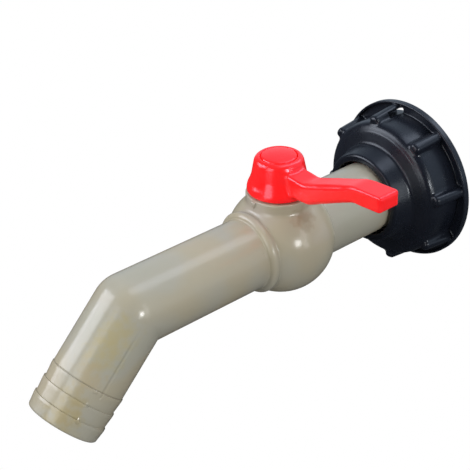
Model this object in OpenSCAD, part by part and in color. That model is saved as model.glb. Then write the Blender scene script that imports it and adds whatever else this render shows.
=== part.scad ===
// Rain barrel tap: a lever ball tap with a bent spout and a coupling nut for a coarse tank thread.
// The nut end is +X, the stem is +Z, and the origin is the centre of the gasket's sealing face.
// Turned profiles are written as [radius, height] and lie along the axis that they turn about.

/* [Inlet tube] */
// Length from the centre of the ball to the sealing face
inlet_run = 74; // [70:0.5:90]
// Outer diameter of the inlet tube
inlet_od = 34.9; // [34:0.1:36]
// Diameter of the waterway in the tubes
bore_d = 28; // [25:0.5:29]
// Diameter of the flange that the nut pulls on
flange_d = 54.8; // [50:0.2:55.2]
// Thickness of the flange
flange_t = 3.5; // [2.5:0.1:4.5]
// Radius of the fillet behind the flange
flange_fillet = 1; // [0.4:0.1:1.4]

/* [Outlet tube and spout] */
// Outer diameter of the outlet tube and the spout
outlet_od = 34; // [32:0.5:36]
// Length from the centre of the ball to the bend
outlet_run = 87; // [60:1:140]
// Length from the bend to the mouth
spout_len = 56.6; // [48:0.2:90]
// Angle of the bend below level
bend_angle = 45; // [20:1:60]

/* [Hose tail] */
// Number of teeth
teeth = 3; // [2:1:5]
// Length of one tooth
tooth_pitch = 7.3; // [5:0.1:8]
// Flat land at the crest of a tooth
tooth_land = 1.2; // [0.8:0.1:2]
// Height of a crest above the spout
tooth_rise = 0.3; // [0.2:0.05:0.8]
// Fall from one crest to the root of the next
tooth_fall = 0.6; // [0.4:0.05:1.2]
// Radius of the rounded mouth edge
mouth_round = 1.4; // [0.6:0.1:1.6]

/* [Ball and seats] */
// Gap between the ball and the bore of the body
ball_gap = 0.5; // [0.4:0.1:1]
// Diameter of the ball's port
port_d = 22; // [18:0.5:22.5]
// Width of the slot for the stem
slot_w = 6.2; // [5:0.1:8]
// Depth of the slot below the top of the ball
slot_depth = 3.5; // [2.5:0.1:4]
// Diameter of the hole in the seats
seat_hole_d = 23.6; // [23.2:0.2:24.8]
// Reach of each seat from the centre of the ball
seat_back = 15.5; // [15:0.1:16.5]
// Thickness of the seats along the waterway
seat_t = 4.6; // [3.5:0.1:5]
// Thickness of the seat O-rings
seat_cord = 1.4; // [1:0.1:1.6]

/* [Housing] */
// Wall of the housing outside its bore
housing_wall = 7.95; // [6.5:0.05:9]
// Diameter of the raised outlet collar
collar_d = 39.2; // [38.8:0.2:42]
// Reach of the outlet collar from the centre of the ball
collar_reach = 21.4; // [20:0.1:24]
// Radius of the collar's outer edge
collar_round = 2.4; // [1:0.1:2.4]
// Radius of the fillet between the housing and what stands on it
housing_fillet = 1.6; // [0.8:0.1:2.4]
// Diameter of the stem neck
neck_d = 31.2; // [28:0.2:34]
// Height of the neck's top above the housing's top
neck_rise = 0.25; // [0:0.05:3]
// Radius of the neck's top edge
neck_round = 0.8; // [0.3:0.1:1.5]
// Diameter of the stem sleeve above the neck
sleeve_d = 18; // [16:0.2:19]
// Height of the stem sleeve above the neck
sleeve_h = 7.8; // [6:0.1:9]

/* [Stem] */
// Diameter of the stem
stem_d = 12; // [10:0.1:13]
// Diameter of the stem's flange
stem_flange_d = 16; // [14.6:0.2:18]
// Thickness of the stem's flange
stem_flange_t = 2.3; // [1.8:0.1:3]
// Length of the tang across the ball
tang_len = 14; // [10:0.5:16]
// Width of the stem's square
square_w = 8; // [6.5:0.1:8.4]
// Height of the stem's square
square_h = 3.9; // [3:0.1:5]
// Thickness of the thrust washer
thrust_t = 1; // [0.6:0.1:1.6]
// Thickness of the stem O-rings
stem_cord = 1.2; // [0.8:0.05:1.4]
// Distance between the stem O-rings
ring_pitch = 4; // [3:0.1:5]

/* [Handle] */
// Height of the hub
hub_h = 17; // [16:0.2:22]
// Radius of the hub's foot
hub_foot_r = 15; // [14.2:0.1:17]
// Radius of the hub's waist
hub_waist_r = 12.4; // [11.8:0.1:13.5]
// Radius of the hub under its top edge
hub_top_r = 11.2; // [10.8:0.1:11.8]
// Radius of the foot's rounded edge
foot_round = 1.8; // [0.8:0.1:2]
// Radius of the hub's top edge
hub_round = 1.9; // [0.8:0.1:2.2]
// Width of the lever
lever_w = 11.4; // [8:0.2:16]
// Reach of the lever from the stem
lever_reach = 68.5; // [56:0.5:100]
// Rise of the cranked lever from root to tip
lever_rise = 11.9; // [6:0.1:20]
// Depth of the lever at its root
lever_root_depth = 9.8; // [6:0.1:12]
// Depth of the lever at its tip
lever_tip_depth = 7.5; // [4:0.1:9]
// Rounding of the lever's edges
lever_round = 1.3; // [0.6:0.1:2]
// Angle from shut to open
quarter_turn = 90; // [60:1:90]

/* [Handle fixings] */
// Diameter of the cap
cap_d = 16.6; // [15:0.2:17.6]
// Thickness of the cap's rim
cap_t = 1.5; // [1:0.1:2.5]
// Crown of the cap above its rim
cap_crown = 0.7; // [0.3:0.1:1.5]
// Thread diameter of the screw
screw_d = 4; // [3:0.5:5]
// Length of the screw's shank
screw_len = 12; // [8:0.5:14]
// Diameter of the screw's head
screw_head_d = 8; // [7:0.2:9.5]
// Height of the screw's head
screw_head_h = 2.4; // [1.6:0.1:3]
// Diameter of the washer
washer_d = 12; // [10:0.2:13]
// Thickness of the washer
washer_t = 0.8; // [0.5:0.1:1.2]

/* [Coupling nut] */
// Bore radius of the tank thread, at the bottom of its grooves
thread_r = 30.3; // [29:0.1:31.5]
// Length of the thread in front of the gasket
thread_len = 14.4; // [12:0.2:24]
// Outer radius of the nut's wall
nut_wall_r = 34.8; // [34:0.1:38]
// Radius of the hole that the inlet tube passes
nut_hole_r = 19.1; // [18.4:0.1:20]
// Length of the collar round the hole, from the web's inner face
nut_collar_len = 14; // [10:0.2:18]
// Radius of the collar's front face
nut_front_r = 22.4; // [21.6:0.1:23.5]
// Radius of the collar's foot
nut_foot_r = 24.4; // [24:0.1:27]
// Thickness of the web at the shoulder
web_t = 1.8; // [1.6:0.1:4]
// Radial width of the bevelled shoulder
shoulder_w = 2; // [1:0.1:3]
// Length of the bevelled shoulder along the tube
shoulder_len = 1.25; // [0.8:0.05:2.5]
// Radial step of the relief behind the thread
relief_step = 0.7; // [0.5:0.1:1.2]
// Number of lugs
lugs = 8; // [6:1:12]
// Width of a lug at the wall
lug_w = 5.8; // [4:0.2:8]
// Height of a lug above the wall at its front
lug_h = 3.2; // [2:0.1:4]
// Extra height of a lug where it meets the rim
lug_flare = 1.8; // [0:0.1:2.2]
// Radius of a lug's rounded front
lug_round = 2.2; // [0.6:0.1:2.4]
// Angle of the first lug above the near side
lug_turn = 10.5; // [0:0.5:44]
// Outer radius of the rim
rim_r = 40.8; // [39:0.1:45]
// Width of the rim along the tube
rim_w = 3.2; // [2:0.1:6]
// Radial thickness of the rim
rim_t = 1.3; // [1:0.1:3]
// Thickness of the floor that joins the rim to the wall
rim_floor_t = 1.4; // [1:0.1:2.4]
// Distance of the rim from the nut's open end
rim_setback = 2.7; // [0:0.1:6]

/* [Gasket] */
// Thickness of the gasket
gasket_t = 2.8; // [1.5:0.1:4]
// Step from the edge of the flange in to the edge of the gasket
gasket_inset = 0.2; // [0.1:0.1:3]

/* [Hidden] */
$fn = 96;

// Clearances
joint_fit = 0.05;
seat_fit = 0.15;
seat_gap = 0.15;
running_fit = 0.05;
tang_fit = 0.1;
slip_gap = 0.2;
part_gap = 0.3;
hub_gap = 0.5;
cavity_gap = 0.4;
cap_gap = 0.4;
hole_gap = 0.2;
lip_step = 0.4;
eps = 0.5;

// How far a raised piece is sunk into what it stands on, and how far joined bores overlap
sink = 1;
lap = 0.1;

// Colours
beige = [0.65, 0.61, 0.51];
red = [0.93, 0.14, 0.16];
black = [0.09, 0.10, 0.12];
seat_white = [0.93, 0.93, 0.90];
rubber = [0.13, 0.13, 0.13];
steel = [0.72, 0.73, 0.75];

// Radii and places along the waterway, from the centre of the ball
bore_r = bore_d / 2;
port_r = port_d / 2;
inlet_r = inlet_od / 2;
outlet_r = outlet_od / 2;
body_bore_r = inlet_r + joint_fit;
ball_r = body_bore_r - ball_gap;
housing_r = body_bore_r + housing_wall;
collar_r = collar_d / 2;
seat_r = inlet_r - seat_fit;
seat_hole_r = seat_hole_d / 2;
seat_front = seat_back - seat_t;
lip_r = seat_hole_r + lip_step;
lip_len = 2.2;
lip_taper = 3;
cord_r = seat_cord / 2;
cord_mid_r = (lip_r + inlet_r) / 2;
cord_groove = seat_cord + 2 * seat_gap;

// Heights on the stem, from the centre of the ball
neck_top = housing_r + neck_rise;
neck_r = neck_d / 2;
sleeve_r = sleeve_d / 2;
sleeve_top = neck_top + sleeve_h;
slot_floor = ball_r - slot_depth;
stem_r = stem_d / 2;
tang_w = slot_w - 2 * tang_fit;
stem_flange_r = stem_flange_d / 2;
stem_flange_z = ball_r + part_gap;
thrust_z = stem_flange_z + stem_flange_t;
pocket_top = thrust_z + thrust_t + 2 * running_fit;
stem_bore_r = stem_r + running_fit;
stem_cord_r = stem_cord / 2;
stem_cord_mid_r = stem_bore_r - running_fit - stem_cord_r;
ring_groove = stem_cord + 2 * seat_gap;
ring_middle = (pocket_top + sleeve_top) / 2;

// Heights in the handle
hub_z = neck_top + hub_gap;
hub_top = hub_z + hub_h;
cavity_r = sleeve_r + cavity_gap;
roof_z = sleeve_top + part_gap;
square_z = sleeve_top + part_gap;
web_top = square_z + square_h + part_gap;
screw_hole_r = screw_d / 2;
washer_z = web_top;
head_z = washer_z + washer_t;
cap_r = cap_d / 2;
cap_recess_r = cap_r + cap_gap;
cap_proud = 0.2;
cap_z = hub_top - cap_t + cap_proud;
cap_ledge = 1.2;
cap_skirt_r = cap_r - cap_ledge;
cap_skirt_h = 2;
cap_skirt_t = 1.1;
fixing_r = cap_skirt_r + joint_fit;
square_fit = 0.1;

// The lever's underside and top, each as [reach, height] from the root over both bends to the tip
lever_root_z = hub_z + 2.7;
lever_top_z = lever_root_z + lever_root_depth;
lever_tip_top_z = lever_top_z + lever_rise;
lever_tip_z = lever_tip_top_z - lever_tip_depth;
lever_bend_in = 21;
lever_tip_len = 17.5;
lever_bend_out = lever_reach - lever_tip_len;
lever_bend_lag = 3.3;
lever_start = hub_waist_r - 4;
LEVER_UNDER = [
  [lever_start, lever_root_z], [lever_bend_in + lever_bend_lag, lever_root_z],
  [lever_bend_out + lever_bend_lag / 2, lever_tip_z - 1.2], [lever_reach, lever_tip_z]
];
LEVER_TOP = [
  [lever_start, lever_top_z], [lever_bend_in, lever_top_z],
  [lever_bend_out, lever_tip_top_z - 1.1], [lever_reach, lever_tip_top_z]
];

// The stop between neck and hub
stop_w = 3;
stop_r = 12;
stop_h = 3;
stop_slack = asin((stop_w / 2 + part_gap) / cavity_r);

// Places along the nut, from the sealing face
thread_start = -0.15;
web_in = -gasket_t - flange_t - slip_gap;
nut_front = web_in - nut_collar_len;
flange_r = flange_d / 2;
flange_z = -gasket_t - flange_t;
rim_back = thread_len - rim_setback;
rim_front = rim_back - rim_w;
mouth_chamfer = 1;
lug_front = web_in - web_t + shoulder_len;
lug_draft = 0.6;

// Slot for a tether through the root of one lug and the floor behind it, from the lug's near side
tether_lug = 2;
tether_front = 1.6;
tether_low = 35;
tether_h = 2.5;
tether_near = -3.7;
tether_far = 2;

// Points of an arc about [x, y]
function arc(centre, r, from, to, steps = 8) =
  [for (i = [0:steps]) let (a = from + (to - from) * i / steps) centre + r * [cos(a), sin(a)]];

// Radius of the hub between its foot and its waist, a smooth flare
function flare(h, low, high) =
  hub_waist_r + (hub_foot_r - hub_waist_r) * (1 + cos(180 * (h - low) / (high - low))) / 2;

// Places its child at the centre of the ball
module at_ball() {
  translate([-inlet_run, 0, 0]) children();
}

// Turns a profile about the waterway, with heights measured from the child's origin towards +X
module turn_x(points) {
  rotate([0, 90, 0]) rotate_extrude() polygon(points);
}

// A cylinder along the waterway from one place to another
module rod_x(r, from, to) {
  translate([from, 0, 0]) rotate([0, 90, 0]) cylinder(r = r, h = to - from);
}

// Places its child at the bend, looking down the spout
module at_bend() {
  translate([-outlet_run, 0, 0]) rotate([0, -90 - bend_angle, 0]) children();
}

// The end of a tube that backs a seat: a narrow lip that opens into the waterway, ready to be cut away
module lip_bore() {
  turn_x([
    [0, seat_back - eps], [lip_r, seat_back - eps], [lip_r, seat_back + lip_len],
    [bore_r, seat_back + lip_len + lip_taper], [0, seat_back + lip_len + lip_taper]
  ]);
}

// Groove in a tube's end face for the O-ring that presses the seat
module cord_seat() {
  turn_x([
    [cord_mid_r - cord_groove / 2, seat_back - eps], [cord_mid_r + cord_groove / 2, seat_back - eps],
    [cord_mid_r + cord_groove / 2, seat_back + seat_cord], [cord_mid_r - cord_groove / 2, seat_back + seat_cord]
  ]);
}

// Turns a piece that is drawn for the inlet side over to the outlet side
module outlet_side() {
  mirror([1, 0, 0]) children();
}

// Outside of the housing's collar, with a rounded edge and a fillet against the housing
module collar() {
  foot_r = collar_r + housing_fillet;
  foot = sqrt((housing_r + housing_fillet) ^ 2 - foot_r ^ 2);
  lean = atan2(foot_r, foot);
  outlet_side() turn_x(concat(
    [[0, 0], housing_r * [sin(lean), cos(lean)]],
    arc([foot_r, foot], housing_fillet, 270 - lean, 180, 6),
    arc([collar_r - collar_round, collar_reach - collar_round], collar_round, 0, 90),
    [[0, collar_reach]]
  ));
}

// Stem neck, with a fillet against the housing and a rounded top edge
module neck() {
  foot_r = neck_r + housing_fillet;
  foot = sqrt((housing_r + housing_fillet) ^ 2 - foot_r ^ 2);
  lean = atan2(foot_r, foot);
  rotate_extrude() polygon(concat(
    [[0, 0], housing_r * [sin(lean), cos(lean)]],
    arc([foot_r, foot], housing_fillet, 270 - lean, 180, 6),
    arc([neck_r - neck_round, neck_top - neck_round], neck_round, 0, 90, 5),
    [[0, neck_top]]
  ));
}

// Block on the neck that stops the hub at both ends of its turn
module stop_block() {
  translate([-stop_r, -stop_w / 2, neck_top - eps]) cube([stop_r - sleeve_r + sink, stop_w, stop_h + eps]);
}

// Small moulded index below the stop
module index_mark() {
  mark_w = 2.4;
  mark_h = 3.4;
  mark_out = 0.8;
  translate([-neck_r - mark_out, 0, neck_top - neck_round - mark_h])
    rotate([90, 0, 90]) linear_extrude(mark_out + sink)
      polygon([[-mark_w / 2, mark_h], [mark_w / 2, mark_h], [0, 0]]);
}

module valve_body() {
  color(beige) at_ball() difference() {
    union() {
      sphere(r = housing_r);
      collar();
      neck();
      cylinder(r = sleeve_r, h = sleeve_top);
      stop_block();
      index_mark();
    }
    rod_x(body_bore_r, -housing_r - eps, housing_r + eps);
    cylinder(r = stem_flange_r + part_gap, h = pocket_top);
    cylinder(r = stem_bore_r, h = sleeve_top + eps);
  }
}

module inlet_tube() {
  tube_end = inlet_run - gasket_t;
  color(beige) at_ball() difference() {
    turn_x(concat(
      [[0, seat_back], [inlet_r, seat_back]],
      arc([inlet_r + flange_fillet, tube_end - flange_t - flange_fillet], flange_fillet, 180, 90, 5),
      [[flange_r, tube_end - flange_t], [flange_r, tube_end], [0, tube_end]]
    ));
    rod_x(bore_r, seat_back + lip_len + lip_taper - lap, tube_end + eps);
    lip_bore();
    cord_seat();
  }
}

// Outside of the spout and its hose tail, from the bend to the mouth
module spout_outside() {
  crest_r = outlet_r + tooth_rise;
  root_r = crest_r - tooth_fall;
  tail = spout_len - teeth * tooth_pitch;
  rotate_extrude() polygon(concat(
    [[0, 0], [outlet_r, 0], [outlet_r, tail]],
    [for (i = [0:teeth - 1]) each [
      [crest_r, tail + i * tooth_pitch], [crest_r, tail + i * tooth_pitch + tooth_land],
      if (i < teeth - 1) [root_r, tail + (i + 1) * tooth_pitch]
    ]],
    arc([root_r - mouth_round, spout_len - mouth_round], mouth_round, 0, 90),
    [[0, spout_len]]
  ));
}

// The bent waterway, round at the outside of the bend
module bent_bore() {
  rod_x(bore_r, -outlet_run, -seat_back - lip_len - lip_taper + lap);
  at_bend() sphere(r = bore_r);
  at_bend() cylinder(r = bore_r, h = spout_len + eps);
}

module outlet_spout() {
  color(beige) at_ball() difference() {
    union() {
      rod_x(inlet_r, -collar_reach, -seat_back);
      rod_x(outlet_r, -outlet_run, -collar_reach);
      at_bend() sphere(r = outlet_r);
      at_bend() spout_outside();
    }
    outlet_side() lip_bore();
    outlet_side() cord_seat();
    union() bent_bore();
  }
}

module ball() {
  color(seat_white) at_ball() difference() {
    sphere(r = ball_r);
    rotate([90, 0, 0]) cylinder(r = port_r, h = 3 * ball_r, center = true);
    translate([-ball_r, -slot_w / 2, slot_floor]) cube([2 * ball_r, slot_w, slot_depth + eps]);
  }
}

// Seat ring for the inlet side, hollowed to fit the ball
module seat() {
  difference() {
    rod_x(seat_r, seat_front, seat_back);
    rod_x(seat_hole_r, seat_front - eps, seat_back + eps);
    sphere(r = ball_r + seat_gap);
  }
}

// O-ring behind the inlet seat
module seat_oring() {
  turn_x_ring(cord_mid_r, cord_r, seat_back + cord_r);
}

// A round ring about the waterway
module turn_x_ring(mid_r, cord, place) {
  rotate([0, 90, 0]) translate([0, 0, place]) rotate_extrude() translate([mid_r, 0]) circle(r = cord, $fn = 32);
}

module inlet_seat() {
  color(seat_white) at_ball() seat();
}

module outlet_seat() {
  color(seat_white) at_ball() outlet_side() seat();
}

module inlet_seat_oring() {
  color(rubber) at_ball() seat_oring();
}

module outlet_seat_oring() {
  color(rubber) at_ball() outlet_side() seat_oring();
}

// Groove round the stem for an O-ring
module ring_seat(z) {
  translate([0, 0, z - ring_groove / 2]) difference() {
    cylinder(r = stem_r + eps, h = ring_groove);
    translate([0, 0, -eps]) cylinder(r = stem_cord_mid_r - stem_cord_r, h = ring_groove + 2 * eps);
  }
}

module stem() {
  color(steel) at_ball() difference() {
    union() {
      translate([-tang_len / 2, -tang_w / 2, slot_floor + part_gap])
        cube([tang_len, tang_w, stem_flange_z - slot_floor]);
      translate([0, 0, stem_flange_z]) cylinder(r = stem_flange_r, h = stem_flange_t);
      translate([0, 0, stem_flange_z]) cylinder(r = stem_r, h = square_z - stem_flange_z);
      translate([-square_w / 2, -square_w / 2, square_z - eps]) cube([square_w, square_w, square_h + eps]);
    }
    ring_seat(ring_middle - ring_pitch / 2);
    ring_seat(ring_middle + ring_pitch / 2);
    translate([0, 0, head_z - screw_len - 1]) cylinder(r = screw_hole_r, h = screw_len + 2);
  }
}

module thrust_washer() {
  color(seat_white) at_ball() translate([0, 0, thrust_z]) difference() {
    cylinder(r = stem_flange_r, h = thrust_t);
    translate([0, 0, -eps]) cylinder(r = stem_r + running_fit, h = thrust_t + 2 * eps);
  }
}

// O-ring on the stem
module stem_oring(z) {
  translate([0, 0, z]) rotate_extrude() translate([stem_cord_mid_r, 0]) circle(r = stem_cord_r, $fn = 32);
}

module stem_oring_lower() {
  color(rubber) at_ball() stem_oring(ring_middle - ring_pitch / 2);
}

module stem_oring_upper() {
  color(rubber) at_ball() stem_oring(ring_middle + ring_pitch / 2);
}

// Turned outside of the hub: rounded foot, flare, light taper and rounded top
module hub_outside() {
  flare_low = foot_round + 0.6;
  flare_high = hub_h * 0.55;
  translate([0, 0, hub_z]) rotate_extrude() polygon(concat(
    [[0, 0]],
    arc([hub_foot_r - foot_round, foot_round], foot_round, -90, 0),
    [for (i = [0:10]) let (h = flare_low + (flare_high - flare_low) * i / 10) [flare(h, flare_low, flare_high), h]],
    arc([hub_top_r - hub_round, hub_h - hub_round], hub_round, 8, 90),
    [[0, hub_h]]
  ));
}

// One corner of a lever station
module lever_corner(side, reach, z) {
  translate([side * (lever_w / 2 - lever_round), -reach, z]) sphere(r = lever_round, $fn = 24);
}

// The four corners of a lever station
module lever_station(i) {
  for (side = [-1, 1]) {
    lever_corner(side, LEVER_UNDER[i][0] - lever_round, LEVER_UNDER[i][1] + lever_round);
    lever_corner(side, LEVER_TOP[i][0] - lever_round, LEVER_TOP[i][1] - lever_round);
  }
}

// Cranked lever with rounded edges
module lever() {
  for (i = [0:len(LEVER_TOP) - 2]) hull() {
    lever_station(i);
    lever_station(i + 1);
  }
}

// Arc in the hub's foot that rides over the stop block
module stop_groove() {
  rotate([0, 0, 180 - quarter_turn - stop_slack])
    rotate_extrude(angle = quarter_turn + 2 * stop_slack)
      translate([cavity_r - sink, hub_z - eps])
        square([stop_r + part_gap - cavity_r + sink, neck_top + stop_h + part_gap - hub_z + eps]);
}

module handle() {
  color(red) at_ball() difference() {
    union() {
      hub_outside();
      lever();
    }
    translate([0, 0, hub_z - eps]) cylinder(r = cavity_r, h = roof_z - hub_z + eps);
    stop_groove();
    translate([-square_w / 2 - square_fit, -square_w / 2 - square_fit, roof_z - eps])
      cube([square_w + 2 * square_fit, square_w + 2 * square_fit, web_top - roof_z + 2 * eps]);
    translate([0, 0, web_top]) cylinder(r = fixing_r, h = hub_h);
    translate([0, 0, cap_z]) cylinder(r = cap_recess_r, h = hub_h);
  }
}

module handle_washer() {
  color(steel) at_ball() translate([0, 0, washer_z]) difference() {
    cylinder(r = washer_d / 2, h = washer_t);
    translate([0, 0, -eps]) cylinder(r = screw_hole_r + hole_gap, h = washer_t + 2 * eps);
  }
}

module handle_screw() {
  socket_r = 0.4 * screw_d;
  socket_depth = 1.2;
  color(steel) at_ball() difference() {
    union() {
      translate([0, 0, head_z]) cylinder(r = screw_head_d / 2, h = screw_head_h);
      translate([0, 0, head_z - screw_len]) cylinder(r = screw_hole_r, h = screw_len + eps);
    }
    translate([0, 0, head_z + screw_head_h - socket_depth])
      cylinder(r = socket_r, h = socket_depth + eps, $fn = 6);
  }
}

module handle_cap() {
  dome_r = (cap_r ^ 2 + cap_crown ^ 2) / (2 * cap_crown);
  color(red) at_ball() union() {
    translate([0, 0, cap_z]) cylinder(r = cap_r, h = cap_t);
    intersection() {
      translate([0, 0, cap_z + cap_t + cap_crown - dome_r]) sphere(r = dome_r);
      translate([0, 0, cap_z + cap_t - lap]) cylinder(r = cap_r, h = cap_crown + sink);
    }
    translate([0, 0, cap_z - cap_skirt_h]) difference() {
      cylinder(r = cap_skirt_r, h = cap_skirt_h + lap);
      translate([0, 0, -eps]) cylinder(r = cap_skirt_r - cap_skirt_t, h = cap_skirt_h + eps);
    }
  }
}

// Section of the nut: collar, web, shoulder, wall, thread bore and relief
module nut_section() {
  shoulder_x = web_in - web_t;
  front_round = 0.9;
  foot_round_r = 1.9;
  foot_x = shoulder_x - 4;
  edge = 0.8;
  bevel = atan2(shoulder_len, shoulder_w);
  edge_x = shoulder_x + shoulder_len + edge * (1 - sin(bevel)) / cos(bevel);
  turn_x(concat(
    [[nut_hole_r, web_in], [nut_hole_r, nut_front + front_round], [nut_hole_r + front_round, nut_front]],
    arc([nut_front_r - front_round, nut_front + front_round], front_round, -90, 0, 5),
    arc([nut_foot_r + foot_round_r, foot_x], foot_round_r, 170, 105, 6),
    [[nut_wall_r - shoulder_w, shoulder_x]],
    arc([nut_wall_r - edge, edge_x], edge, bevel - 90, 0, 5),
    [
      [nut_wall_r, thread_len - mouth_chamfer], [nut_wall_r - mouth_chamfer, thread_len],
      [thread_r + mouth_chamfer, thread_len], [thread_r, thread_len - mouth_chamfer],
      [thread_r, thread_start], [thread_r + relief_step, thread_start], [thread_r + relief_step, web_in]
    ]
  ));
}

// One lug: a drafted bar along the wall with a rounded front, reaching into the rim
module lug() {
  top = nut_wall_r + lug_h;
  intersection() {
    rotate([90, 0, 0]) linear_extrude(lug_w, center = true) polygon(concat(
      [[lug_front, nut_wall_r - sink]],
      arc([lug_front + lug_round, top - lug_round], lug_round, 180, 90, 6),
      [[rim_back - rim_floor_t / 2, top + lug_flare], [rim_back - rim_floor_t / 2, nut_wall_r - sink]]
    ));
    rotate([90, 0, 90]) linear_extrude(2 * thread_len + 2 * nut_collar_len, center = true) polygon([
      [-lug_w / 2, nut_wall_r - 2 * sink], [lug_w / 2, nut_wall_r - 2 * sink],
      [lug_w / 2 - lug_draft, rim_r], [-lug_w / 2 + lug_draft, rim_r]
    ]);
  }
}

// Rim that ties the lugs together, raised round a thin floor that closes the bays between them
module rim() {
  edge = 0.6;
  floor_front = rim_back - rim_floor_t;
  turn_x(concat(
    [[nut_wall_r - sink, floor_front], [nut_wall_r - sink, rim_back]],
    arc([rim_r - edge, rim_back - edge], edge, 90, 0, 4),
    arc([rim_r - edge, rim_front + edge], edge, 0, -90, 4),
    [[rim_r - rim_t, rim_front], [rim_r - rim_t, floor_front]]
  ));
}

// Places its child at a lug, with the lug's height along +Z
module at_lug(i) {
  rotate([90 - lug_turn - i * 360 / lugs, 0, 0]) children();
}

module tether_slot() {
  at_lug(tether_lug) translate([tether_front, tether_near, tether_low])
    cube([rim_back + eps - tether_front, tether_far - tether_near, tether_h]);
}

module coupling_nut() {
  color(black) difference() {
    union() {
      nut_section();
      rim();
      for (i = [0:lugs - 1]) at_lug(i) lug();
    }
    tether_slot();
  }
}

module face_gasket() {
  color(rubber) difference() {
    rod_x(flange_r - gasket_inset, -gasket_t, 0);
    rod_x(bore_r + part_gap, -gasket_t - eps, eps);
  }
}

valve_body();
inlet_tube();
outlet_spout();
ball();
inlet_seat();
outlet_seat();
inlet_seat_oring();
outlet_seat_oring();
stem();
thrust_washer();
stem_oring_lower();
stem_oring_upper();
handle();
handle_washer();
handle_screw();
handle_cap();
coupling_nut();
face_gasket();
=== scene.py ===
import math

import bpy
import numpy as np
from mathutils import Matrix, Vector


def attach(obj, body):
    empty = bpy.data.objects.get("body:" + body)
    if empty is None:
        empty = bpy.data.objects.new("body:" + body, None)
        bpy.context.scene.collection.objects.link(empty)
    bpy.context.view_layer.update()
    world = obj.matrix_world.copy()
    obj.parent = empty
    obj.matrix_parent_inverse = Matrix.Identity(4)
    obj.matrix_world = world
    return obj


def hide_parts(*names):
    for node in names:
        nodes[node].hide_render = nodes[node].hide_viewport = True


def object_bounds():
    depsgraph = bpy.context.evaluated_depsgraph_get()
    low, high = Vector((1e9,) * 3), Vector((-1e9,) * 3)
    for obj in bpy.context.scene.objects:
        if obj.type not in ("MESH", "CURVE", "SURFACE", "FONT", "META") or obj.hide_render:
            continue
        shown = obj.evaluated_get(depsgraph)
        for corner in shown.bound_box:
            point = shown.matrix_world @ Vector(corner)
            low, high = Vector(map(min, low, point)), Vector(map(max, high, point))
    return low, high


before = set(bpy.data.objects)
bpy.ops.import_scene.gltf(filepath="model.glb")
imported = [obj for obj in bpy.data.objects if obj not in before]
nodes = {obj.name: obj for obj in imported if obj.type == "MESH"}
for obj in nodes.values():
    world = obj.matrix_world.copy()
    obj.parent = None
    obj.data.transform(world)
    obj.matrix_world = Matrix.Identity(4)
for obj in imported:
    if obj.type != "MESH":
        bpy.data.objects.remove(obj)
cad_low, cad_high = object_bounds()

# The script works in millimetres from the ball's centre, and the row frame is in metres
MM = 0.001
BALL_X = -74.0
WHITE = (1, 1, 1, 1)

# Camera that sees the object as the photograph does
PHOTO_SIDE = 470.0
FOCAL_PX = 1236.3
BALL_PIXEL = (280.419, 237.299)
VIEW_AZIMUTH = -41.425
VIEW_ELEVATION = 31.26
VIEW_ROLL = -1.109
VIEW_DISTANCE = 0.578

# World's glow for all rays but the camera's, growing as their direction turns towards +X
SKY_SPAN = (-0.2, 0.6)
SKY_GLOW = (0.03, 0.70)
SKY_COLOUR = (0.72, 0.85, 1.0, 1)

# Floor: its grey for diffuse and for glossy rays, and its glow in reflections, growing along X
FLOOR_HALF = 3.0
FLOOR_GAP = 0.001
FLOOR_TONE = (0.30, 0.025)
FLOOR_SPAN = (-0.1, 0.8)
FLOOR_GLOW = 0.45
FLOOR_COLOUR = (0.70, 0.85, 1.0, 1)
FLOOR_ROUGHNESS = 0.8
FLOOR_SPECULAR = 0.1


def place(x, y, z):
    """A point given in millimetres from the ball's centre, in the row frame in metres."""
    return Vector(((x + BALL_X) * MM, y * MM, z * MM))


LAMPS_AIM = place(-20, 0, 0)


def make_camera():
    """Turns the camera so that the ball's centre falls on its pixel in the photograph."""
    azimuth = math.radians(VIEW_AZIMUTH)
    elevation = math.radians(VIEW_ELEVATION)
    roll = math.radians(VIEW_ROLL)
    back = Vector((
        math.sin(azimuth) * math.cos(elevation),
        -math.cos(azimuth) * math.cos(elevation),
        math.sin(elevation),
    ))
    forward = -back
    level = forward.cross(Vector((0, 0, 1))).normalized()
    upright = level.cross(forward)
    right = level * math.cos(roll) + upright * math.sin(roll)
    up = upright * math.cos(roll) - level * math.sin(roll)
    middle = PHOTO_SIDE / 2
    across = (BALL_PIXEL[0] - middle) / FOCAL_PX
    rise = (middle - BALL_PIXEL[1]) / FOCAL_PX
    ray = Vector((across, rise, 1)).normalized()
    turn = Vector((0, 0, 1)).rotation_difference(ray).to_matrix()
    axes = Matrix((right, up, forward)).transposed() @ turn.transposed()
    right, up, forward = axes.transposed()
    data = bpy.data.cameras.new("camera")
    data.sensor_width = 36.0
    data.lens = FOCAL_PX / PHOTO_SIDE * data.sensor_width
    data.clip_start = 0.01
    data.clip_end = 20
    camera = bpy.data.objects.new("camera", data)
    bpy.context.scene.collection.objects.link(camera)
    facing = Matrix((right, up, -forward)).transposed().to_4x4()
    camera.matrix_world = Matrix.Translation(place(0, 0, 0) + back * VIEW_DISTANCE) @ facing
    bpy.context.scene.camera = camera


def make_lamp(name, direction, along, width, height, glow, colour=(1, 1, 1)):
    """A panel a metre away in a direction, its width along another one, with its brightness given."""
    data = bpy.data.lights.new(name, "AREA")
    data.shape = "RECTANGLE"
    data.size = width
    data.size_y = height
    data.energy = glow * math.pi * width * height
    data.color = colour
    lamp = bpy.data.objects.new(name, data)
    bpy.context.scene.collection.objects.link(lamp)
    back = Vector(direction).normalized()
    side = (Vector(along) - back * Vector(along).dot(back)).normalized()
    turn = Matrix((side, back.cross(side), back)).transposed().to_4x4()
    lamp.matrix_world = Matrix.Translation(LAMPS_AIM + back) @ turn
    return lamp


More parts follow.
